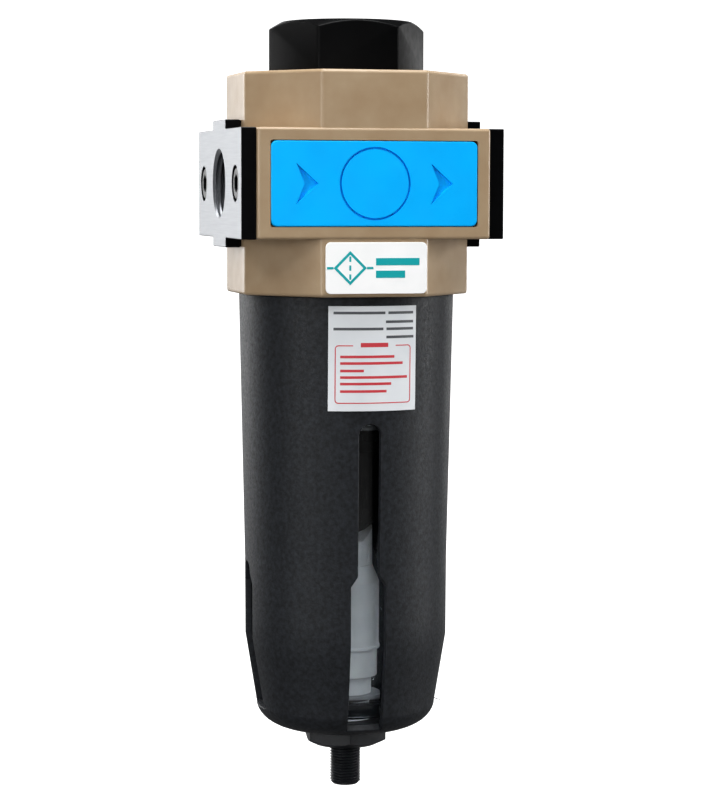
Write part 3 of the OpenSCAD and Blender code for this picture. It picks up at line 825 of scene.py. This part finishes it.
def build_guard():
    """Guard wall as a grid whose columns follow the slots' edges, given its thickness and soft edges."""
    corner_z = GUARD_CORNER[1]
    rows = [GUARD_TOP - 1.5 * i for i in range(1, 26)]
    rows += [LONG_SLOT_TOP + SLOT_NARROW, SHORT_SLOT_TOP + SLOT_NARROW, SHORT_SLOT_TOP, SHORT_SLOT_SHOULDER]
    rows += [LONG_SLOT_SHOULDER - SLOT_SHOULDER_H * share for share in (0, 0.5, 1)]
    rows += [GUARD_TAPER_TOP[1], GUARD_TAPER_END[1], corner_z, SHORT_SLOT_FOOT, LONG_SLOT_FOOT]
    rows += [-116, -126, -130, -136, -148, -154, -160]
    rows += [LONG_SLOT_TOP + SLOT_NARROW * math.sin(math.radians(a)) for a in range(0, 90, 10)]
    rows += [SHORT_SLOT_TOP + SLOT_NARROW * math.sin(math.radians(a)) for a in range(10, 90, 16)]
    rows += [LONG_SLOT_TOP - 6.5 * i for i in range(1, 6)]
    rows += [corner_z + (GUARD_FOOT - corner_z) * math.sin(math.radians(a)) for a in range(10, 91, 8)]
    rows = sorted({round(z, 3) for z in rows if z <= GUARD_TOP - 0.6}, reverse=True)
    side_columns, slot_columns = 10, 6
    path = [(COLLAR_R, -24), (COLLAR_R, GUARD_TOP), (GUARD_TOP_R, GUARD_TOP)]
    path += [(guard_outer(z), z) for z in rows]
    path += [(r, GUARD_FOOT) for r in (GUARD_FOOT_R, 12, STEM_HOLE_R)]
    points, in_slot = [], []
    for r, z in path:
        for quarter, kind in enumerate(("long", "short", "long", "short")):
            half = slot_half_width(z, *SLOTS[kind])
            dome, _, foot = SLOTS[kind]
            inside = foot <= z <= dome + SLOT_NARROW
            half = half if inside else SLOT_NARROW
            edge = math.asin(min(1, half / r)) if r > 20 else math.radians(12)
            middle = math.radians(-90 + 90 * quarter)
            left = [-math.pi / 4 + (math.pi / 4 - edge) * i / side_columns for i in range(side_columns)]
            slot = [-edge + 2 * edge * i / slot_columns for i in range(slot_columns)]
            right = [edge + (math.pi / 4 - edge) * i / side_columns for i in range(side_columns)]
            for angle in left + slot + right:
                a = middle + angle
                points.append((r * math.cos(a), r * math.sin(a), z))
                in_slot.append(inside)
    columns = 4 * (2 * side_columns + slot_columns)
    quarter_columns = columns // 4
    faces = []
    for i in range(len(path) - 1):
        for j in range(columns):
            k = (j + 1) % columns
            in_middle = side_columns <= j % quarter_columns < side_columns + slot_columns
            if in_middle and in_slot[i * columns + j] and in_slot[(i + 1) * columns + j]:
                continue
            faces.append((i * columns + j, i * columns + k, (i + 1) * columns + k, (i + 1) * columns + j))
    guard = make("guard_shell", points, faces)
    wall = guard.modifiers.new("wall", "SOLIDIFY")
    wall.thickness = GUARD_WALL * MM
    wall.offset = -1
    wall.use_even_offset = True
    settle(guard)
    return smooth(soften(guard, 0.4, 3, 55))


def on_guard(x, z, lift):
    """A point on the guard's front, x millimetres along its curve from the rating label's middle."""
    r = guard_outer(z) + lift
    a = math.radians(-90) + (x + RATING_OFFSET) / guard_outer(z)
    return (r * math.cos(a), r * math.sin(a), z)


def patch(x0, x1, z0, z1, low, high):
    """A thin curved block on the guard between two lifts."""
    steps = max(1, round(abs(x1 - x0) / 1.2))
    rows = max(1, round(abs(z1 - z0) / 4))
    points, faces = [], []
    for lift in (low, high):
        for j in range(rows + 1):
            z = z0 + (z1 - z0) * j / rows
            points += [on_guard(x0 + (x1 - x0) * i / steps, z, lift) for i in range(steps + 1)]
    layer, width = (rows + 1) * (steps + 1), steps + 1
    for j in range(rows):
        for i in range(steps):
            a = j * width + i
            faces.append((a, a + 1, a + width + 1, a + width))
            faces.append((layer + a, layer + a + 1, layer + a + width + 1, layer + a + width))
    rim = list(range(width)) + [j * width + steps for j in range(1, rows + 1)]
    rim += [rows * width + i for i in range(steps - 1, -1, -1)]
    rim += [j * width for j in range(rows - 1, 0, -1)]
    for a, b in zip(rim, rim[1:] + rim[:1]):
        faces.append((a, b, layer + b, layer + a))
    return make("patch", points, faces)


def build_rating_label():
    """Curved label film on the guard's front."""
    label = patch(-RATING_HALF, RATING_HALF, RATING_FOOT, RATING_TOP, *RATING_LIFTS)
    label.name = "guard_label"
    return smooth(soften(label, 0.08, 2, 60))


def rating_bars(name, bars):
    """Printed bars on the guard label, each (left, right, height below the label's top, thickness)."""
    pieces = [patch(x0, x1, RATING_TOP - drop - thick / 2, RATING_TOP - drop + thick / 2, *INK_LIFTS)
              for x0, x1, drop, thick in bars]
    return join(pieces, name)


def build_dark_print():
    """Dark bars at the top of the guard label, where its lettering is."""
    left, right = -12.6, 13
    spans = [(left, 3.3, 2.1), (4.3, right, 2.1), (3.5, right, 4.85), (left, 2.7, 7), (3.7, right, 7),
             (3.7, right + 0.2, 9.5)]
    return rating_bars("guard_label_dark_print", [(x0, x1, drop, BAR_T) for x0, x1, drop in spans])


def build_red_print():
    """A round-cornered red frame with plain bars inside it."""
    x0, x1, top, foot, thick = -12, 12, 12.1, 29.7, 0.32
    bars = [(x0 + 1, -6.6, top, thick), (6.8, x1 - 1, top, thick), (x0 + 1, x1 - 1, foot, thick),
            (-4.3, 4.3, top - 0.2, 1.3)]
    bars += [(-10.5, end, drop, BAR_T) for drop, end in
             ((15.5, 6.4), (17.5, 9.3), (19.8, -3.3), (21.8, 10.9), (23.8, 5.4), (26.1, 3.9))]
    pieces = [rating_bars("bars", bars)]
    for x in (x0, x1):
        side = patch(x - thick / 2, x + thick / 2, RATING_TOP - foot + 1, RATING_TOP - top - 1, *INK_LIFTS)
        pieces.append(side)
    for cx, cz, turn in ((x0 + 1, top + 1, 90), (x1 - 1, top + 1, 0), (x0 + 1, foot - 1, 180),
                         (x1 - 1, foot - 1, 270)):
        pieces.append(bent_stroke(cx, RATING_TOP - cz, turn, thick))
    return join(pieces, "guard_label_red_print")


def bent_stroke(cx, cz, turn, thick):
    """A printed quarter ring on the guard label."""
    points = []
    steps = 6
    for lift in INK_LIFTS:
        for r in (1 - thick / 2, 1 + thick / 2):
            for i in range(steps + 1):
                a = math.radians(turn + 90 * i / steps)
                points.append(on_guard(cx + r * math.cos(a), cz + r * math.sin(a), lift))
    n = steps + 1
    faces = []
    for i in range(steps):
        faces += [(i, i + 1, n + i + 1, n + i), (2 * n + i, 2 * n + i + 1, 3 * n + i + 1, 3 * n + i),
                  (i, i + 1, 2 * n + i + 1, 2 * n + i), (n + i, n + i + 1, 3 * n + i + 1, 3 * n + i)]
    faces += [(0, n, 3 * n, 2 * n), (n - 1, 2 * n - 1, 4 * n - 1, 3 * n - 1)]
    return make("corner", points, faces)


# ---------------------------------------------------------------- bowl and drain
def build_bowl():
    """Clear bowl turned from its profile: neck with a ring groove, resting lip, tapered wall, round floor."""
    neck_top, neck_r, groove_r, lip_r = bowl_high.z, 28.6, 26.3, 31
    taper_top, taper_end = GUARD_TAPER_TOP[1], GUARD_TAPER_END[1]
    outside = [(24.6, neck_top), (neck_r, neck_top), (neck_r, -17.3), (groove_r, -17.3), (groove_r, -19.9),
               (neck_r, -19.9), (neck_r, -21.6), (lip_r, -21.6), (lip_r, -23.95), (neck_r, -23.95),
               (27.6, taper_top), (27.4, taper_end), (24.3, -161)]
    outside += arc((14.3, FLOOR_UNDER + 7.6), (10, 7.6), 0, -90, 10)
    floor = arc((13, FLOOR_TOP + 5.6), (8.4, 5.6), 0, -90, 10)[::-1]
    inside = [(STEM_HOLE_R, FLOOR_UNDER), (STEM_HOLE_R, FLOOR_TOP)] + floor
    inside += [(21.4, -160), (24.2, taper_end), (24.3, taper_top)]
    return smooth(soften(lathe("clear_bowl", outside + inside, 128), 0.3, 2, 50))


def build_housing():
    """Float-drain moulding: shoulder, float chamber, bead, waist and clamping stem; heights from the bead."""
    stem_end = nut_low.z + 1.1
    outside = [(7.2, 25.75), (8.5, 25.75), (10.7, 20.3), (10.7, 0), (11.0, 0), (11.0, -1), (10.1, -1),
               (10.1, -9.9), (8.2, -9.9)]
    nozzle = [(3.1, -6), (3.1, -2.6), (1, -2.6), (1, -0.8), (4, -0.8), (4, -2.5)]
    chamber = [(9.2, -2.5), (9.2, 22), (7.2, 22)]
    profile = [(r, BEAD_Z + rise) for r, rise in outside]
    profile += [(8.2, stem_end), (5.2, stem_end), (5.2, SEAT_Z), (6.9, SEAT_Z), (6.9, PARTITION_Z)]
    profile += [(r, BEAD_Z + rise) for r, rise in nozzle + chamber]
    return smooth(soften(lathe("drain_moulding", profile, 96), 0.25, 2, 40))


def build_foot():
    """Clamping foot round the drain's stem; its darker grey paints the shade at the bowl's floor."""
    low, high = FLOOR_TOP + 1.2, FLOOR_TOP + 3.4
    profile = [(8, high), (11.2, high), (11.2, low), (8, low)]
    return smooth(soften(lathe("drain_foot", profile, 96), 0.25, 2, 40))


def build_cap():
    """Strainer cap with a dished top and four slits."""
    dish_r, bore_r = NOSE_R + 0.4, CAP_R - 1.3
    radii = [CAP_R - step for step in range(8)] + [0]
    dish = [(r, NOSE_Z - math.sqrt(dish_r ** 2 - r ** 2)) for r in radii]
    profile = [(bore_r, CAP_FOOT), (CAP_R, CAP_FOOT)] + dish + [(0, CAP_HOLLOW_TOP), (bore_r, CAP_HOLLOW_TOP)]
    cap = soften(lathe("strainer_cap", profile, 96), 0.2, 2, 40)
    reach = 12
    for quarter in range(2):
        outline = [(-reach, -0.5), (reach, -0.5), (reach, 0.5), (-reach, 0.5)]
        slit = prism("slit", outline, CAP_FOOT + 0.6, CAP_FOOT + 7)
        slit.data.transform(Matrix.Rotation(math.radians(45 + 90 * quarter), 4, "Z"))
        combine(cap, slit)
    saddle = [(-3.9, -112.9), (3.9, -112.9), (9.4, -107.4), (9.4, -105), (-9.4, -105), (-9.4, -107.4)]
    combine(cap, prism("saddle", saddle, -reach, reach, "Y"))
    return smooth(cap)


def build_element_foot():
    """Pressed cup that closes the element's lower end round the tie rod."""
    low, high = corners_mm("element_bottom_cap")
    r, hole_r, base, wall = high.x, 3.2, low.z + 3.5, 1
    profile = [(hole_r, low.z), (r, low.z), (r, high.z), (r - wall, high.z), (r - wall, base), (hole_r, base)]
    return smooth(soften(lathe("element_foot_cup", profile, 96), 0.4, 3, 50))


def build_baffle():
    """Bell under the element with a round nose."""
    top, rim_r = -76.5, 22.5
    profile = [(0, top), (rim_r, top), (rim_r, top - 3), (16, top - 7), (NOSE_R, NOSE_Z)]
    profile += arc((0, NOSE_Z), (NOSE_R, NOSE_R), 0, -90, 12)
    return smooth(soften(lathe("still_water_bell", profile, 96), 0.5, 3, 50))


def build_nut():
    """Hexagon drain nut with a cone-cut underside."""
    foot, top = nut_low.z, nut_high.z
    nut = prism("hexagon_nut", circle(NUT_ACROSS / math.sqrt(3), 6, 23.9), foot, top)
    soften(nut, 0.4, 3, 50)
    under_r = NUT_ACROSS / 2 - 1.9
    height = top - foot + 1
    cone = lathe("cone", [(0, foot), (under_r, foot), (under_r + 2 * height, top + 1), (0, top + 1)], 128)
    combine(nut, cone, "INTERSECT")
    combine(nut, rod(NUT_MOUTH_R, foot - 1, foot + 2))
    combine(nut, rod(NUT_BORE_R, foot + 1, top + 1))
    return smooth(soften(nut, 0.2, 2, 30))


def build_stem():
    """Drain tail with its helical thread, hollow, with the valve flange and tube above."""
    foot = stem_low.z
    thread_top = nut_low.z - 0.2
    tail = threaded_rod("drain_tail", *TAIL_THREAD_R, TAIL_PITCH, foot, thread_top, end_taper=0.9, sides=64)
    neck_r, body_r, flange_r, tube_r = 4.25, 4.6, 6.5, 3
    flange_foot, flange_top = SEAT_Z + 1.1, SEAT_Z + 3.1
    upper = [(0, thread_top - 0.5), (neck_r, thread_top - 0.5), (neck_r, thread_top + 0.4),
             (body_r, thread_top + 0.8), (body_r, flange_foot), (flange_r, flange_foot),
             (flange_r, flange_top), (tube_r, flange_top), (tube_r, stem_high.z), (0, stem_high.z)]
    combine(tail, lathe("upper", upper, 64), "UNION")
    combine(tail, rod(TAIL_BORE_R, foot - 1, SEAT_Z + 1, sides=64))
    combine(tail, rod(VALVE_BORE_R, SEAT_Z + 0.1, stem_high.z + 1, sides=32))
    return smooth(tail)


def build_spring():
    """Spring that holds the drain tail down, wound from round wire."""
    wire, steps, sides = SPRING_WIRE_R, 32, 10
    low, high, count = spring_low.z + wire, spring_high.z - wire, SPRING_TURNS * steps
    points, faces = [], []
    for i in range(count + 1):
        around = 2 * math.pi * i / steps
        for k in range(sides):
            section = 2 * math.pi * k / sides
            r = SPRING_R + wire * math.cos(section)
            z = low + (high - low) * i / count + wire * math.sin(section)
            points.append((r * math.cos(around), r * math.sin(around), z))
    for i in range(count):
        for k in range(sides):
            a, b = i * sides + k, i * sides + (k + 1) % sides
            faces.append((a, b, b + sides, a + sides))
    faces += [tuple(range(sides)), tuple(range(count * sides, (count + 1) * sides))]
    return smooth(make("return_spring", points, faces))


# ---------------------------------------------------------------- assembly
fit(build_head(), "head_body")
plate = fit(build_plate(), "outlet_plate")
plate.name = "outlet_end_plate"
fit(mirrored(plate, "inlet_end_plate"), "inlet_plate")
screws = fit(build_plate_screws(), "outlet_plate_screws")
screws.name = "outlet_screws"
fit(mirrored(screws, "inlet_screws"), "inlet_plate_screws")
panel = fit(build_panel(), "front_panel")
rear = new_object("rear_panel_blue", panel.data.copy())
rear.data.transform(Matrix.Rotation(math.pi, 4, "Z") @ Matrix.Diagonal((-1, 1, 1, 1)))
rear.data.flip_normals()
fit(rear, "rear_panel")
fit(build_name_label(), "name_label", label_film("white_label_film", "#F8F8F8", "#F2F3F3"))
fit(build_name_print(), "name_label", TEAL_INK, replace=False)
fit(build_plug(), "top_plug")
fit(build_guard(), "bowl_guard")
fit(build_rating_label(), "rating_label")
fit(build_dark_print(), "rating_label", DARK_INK, replace=False)
fit(build_red_print(), "rating_label", RED_INK, replace=False)
fit(build_bowl(), "bowl")
fit(build_housing(), "drain_housing")
# The foot's mid-grey material is painted shade at the bowl's floor.
fit(build_foot(), "drain_housing", shade_grey_moulding(), replace=False)
fit(build_cap(), "drain_cap")
fit(build_element_foot(), "element_bottom_cap")
fit(build_baffle(), "baffle")
fit(build_nut(), "drain_nut")
fit(build_stem(), "drain_stem")
spring = fit(build_spring(), "drain_spring")
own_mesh(spring)
for twin in (bpy.data.objects["inlet_end_plate"], bpy.data.objects["inlet_screws"], rear):
    smooth(twin)

for name, cad in frame["nodes"].items():
    if not cad.hide_render:
        cad.data.materials.clear()
        cad.data.materials.append(MATERIALS[SLOT_OF[name]])

# ---------------------------------------------------------------- camera, floor and light
YAW, PITCH, ROLL = math.radians(13.6), math.radians(4.78), math.radians(-0.15)
AIM = Vector((3.8, -6.8, -68.1)) * MM
DISTANCE = 793.8 * MM
LENS = 112.9

forward = Vector((math.sin(YAW) * math.cos(PITCH), math.cos(YAW) * math.cos(PITCH), -math.sin(PITCH)))
right = Vector((math.cos(YAW), -math.sin(YAW), 0))
up = right.cross(forward)
right, up = (right * math.cos(ROLL) - up * math.sin(ROLL), right * math.sin(ROLL) + up * math.cos(ROLL))
camera_data = bpy.data.cameras.new("camera")
camera_data.lens = LENS
camera_data.sensor_width = 36
camera_data.clip_end = 50
camera = new_object("camera", camera_data)
turn = Matrix((right, up, -forward)).transposed().to_4x4()
camera.matrix_world = Matrix.Translation(AIM - forward * DISTANCE) @ turn
bpy.context.scene.camera = camera


def softbox(name, place, target, size, power, colour="#FFFFFF"):
    """A rectangular studio light aimed at a point, places in metres."""
    light = bpy.data.lights.new(name, "AREA")
    light.shape = "RECTANGLE"
    light.size, light.size_y = size
    light.energy = power
    light.color = linear(colour)[:3]
    lamp = new_object(name, light)
    aim = (Vector(target) - Vector(place)).to_track_quat("-Z", "Y")
    lamp.matrix_world = Matrix.Translation(place) @ aim.to_matrix().to_4x4()


def beam(name, azimuth, elevation, distance, size, power):
    """A softbox placed by its direction from the part, angles in degrees, azimuth from +X."""
    a, e = math.radians(azimuth), math.radians(elevation)
    ray = Vector((math.cos(a) * math.cos(e), math.sin(a) * math.cos(e), math.sin(e)))
    softbox(name, distance * ray, LIGHT_AIM, size, power)


LIGHT_AIM = (0, 0, -0.05)
beam("front", -99, 38, 1.5, (0.35, 0.35), 3.1)
beam("front_low", -98, 10, 1.5, (0.3, 0.3), 2.1)
beam("front_left", -141, 38, 1.5, (0.4, 0.4), 3.6)
beam("front_right", -56, 40, 1.5, (0.4, 0.4), 1.7)
beam("top", -100, 84, 1.2, (0.9, 0.9), 24)
beam("low_left", -150, 2, 1.5, (0.3, 0.6), 6)
beam("low_right", -34, -1, 1.5, (0.3, 0.6), 1.4)
beam("edge_left", -124, 4, 1.4, (0.08, 0.9), 1.5)
beam("edge_right", -8, 2, 1.4, (0.1, 0.9), 12)
beam("back_wall", 100, 4, 1.3, (1.5, 1.2), 6)
beam("back_left", 127, 12, 1.0, (0.3, 0.8), 5)
beam("back_right", 46, 5, 1.0, (0.2, 0.8), 1.6)

CAMERA_WHITE = 1.1
AMBIENT = 0.04
FLOOR_GLOW = 0.03
FLOOR_REACH = 6
FLOOR_GAP = 0.06


def seen_white(tree, socket, ambient):
    """A strength that is pure white to the camera and gives only ambient light to the part."""
    rays = add(tree, "ShaderNodeLightPath")
    strength = add(tree, "ShaderNodeMapRange", {"Value": rays.outputs["Is Camera Ray"], "To Min": ambient,
                                                "To Max": CAMERA_WHITE})
    tree.links.new(strength.outputs["Result"], socket)


sweep, sweep_tree, sweep_shader = start("white_paper_sweep", Base_Color=linear("#545454"), Roughness=0.9,
                                        Emission_Color=(1, 1, 1, 1))
seen_white(sweep_tree, sweep_shader.inputs["Emission Strength"], FLOOR_GLOW)
floor_mesh = bpy.data.meshes.new("floor")
corners = [(x * FLOOR_REACH, y * FLOOR_REACH, 0) for x, y in ((-1, -1), (1, -1), (1, 1), (-1, 1))]
floor_mesh.from_pydata(corners, [], [(0, 1, 2, 3)])
floor_mesh.materials.append(sweep)
floor = new_object("floor", floor_mesh)
floor.location.z = cad_box[0][2] - FLOOR_GAP

world = bpy.data.worlds.new("studio")
bpy.context.scene.world = world
world.use_nodes = True
sky = world.node_tree.nodes["Background"]
sky.inputs["Color"].default_value = (1, 1, 1, 1)
seen_white(world.node_tree, sky.inputs["Strength"], AMBIENT)
bpy.context.scene.view_settings.view_transform = "Standard"
bpy.context.scene.view_settings.look = "Medium High Contrast"
